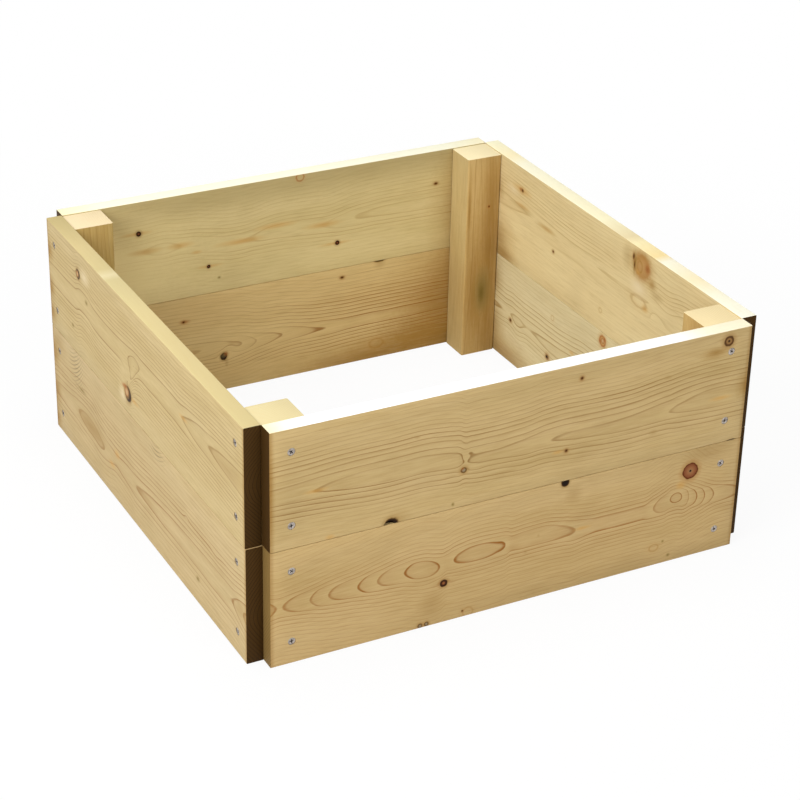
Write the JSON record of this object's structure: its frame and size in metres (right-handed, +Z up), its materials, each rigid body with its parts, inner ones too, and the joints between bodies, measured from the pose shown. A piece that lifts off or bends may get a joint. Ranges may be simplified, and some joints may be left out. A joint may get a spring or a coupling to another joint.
{
  "type": "raised garden bed",
  "caption": "Low square raised garden bed: stacked softwood side boards screwed to four corner posts, open at the top and bottom to hold soil.",
  "frame": {"origin": "on the ground, at the middle of the square frame", "axes": "+Z up, +X along the front side, +Y from the front side to the back side"},
  "size_m": [0.64, 0.64, 0.2903],
  "materials": {
    "treated_pine_board": "planed, pressure-treated, pale green-tan with orange-brown grain and knots",
    "treated_pine_post": "planed, pressure-treated, warm tan",
    "zinc_screw": "bright zinc plate"
  },
  "bodies": {
    "root": {"front_lower_board": "treated_pine_board", "front_upper_board": "treated_pine_board", "right_lower_board": "treated_pine_board", "right_upper_board": "treated_pine_board", "back_lower_board": "treated_pine_board", "back_upper_board": "treated_pine_board", "left_lower_board": "treated_pine_board", "left_upper_board": "treated_pine_board", "front_left_post": "treated_pine_post", "front_right_post": "treated_pine_post", "back_right_post": "treated_pine_post", "back_left_post": "treated_pine_post", "front_lower_board_screw_left_low": "zinc_screw", "front_lower_board_screw_left_high": "zinc_screw", "front_lower_board_screw_right_low": "zinc_screw", "front_lower_board_screw_right_high": "zinc_screw", "front_upper_board_screw_left_low": "zinc_screw", "front_upper_board_screw_left_high": "zinc_screw", "front_upper_board_screw_right_low": "zinc_screw", "front_upper_board_screw_right_high": "zinc_screw", "right_lower_board_screw_left_low": "zinc_screw", "right_lower_board_screw_left_high": "zinc_screw", "right_lower_board_screw_right_low": "zinc_screw", "right_lower_board_screw_right_high": "zinc_screw", "right_upper_board_screw_left_low": "zinc_screw", "right_upper_board_screw_left_high": "zinc_screw", "right_upper_board_screw_right_low": "zinc_screw", "right_upper_board_screw_right_high": "zinc_screw", "back_lower_board_screw_left_low": "zinc_screw", "back_lower_board_screw_left_high": "zinc_screw", "back_lower_board_screw_right_low": "zinc_screw", "back_lower_board_screw_right_high": "zinc_screw", "back_upper_board_screw_left_low": "zinc_screw", "back_upper_board_screw_left_high": "zinc_screw", "back_upper_board_screw_right_low": "zinc_screw", "back_upper_board_screw_right_high": "zinc_screw", "left_lower_board_screw_left_low": "zinc_screw", "left_lower_board_screw_left_high": "zinc_screw", "left_lower_board_screw_right_low": "zinc_screw", "left_lower_board_screw_right_high": "zinc_screw", "left_upper_board_screw_left_low": "zinc_screw", "left_upper_board_screw_left_high": "zinc_screw", "left_upper_board_screw_right_low": "zinc_screw", "left_upper_board_screw_right_high": "zinc_screw"}
  },
  "joints": []
}
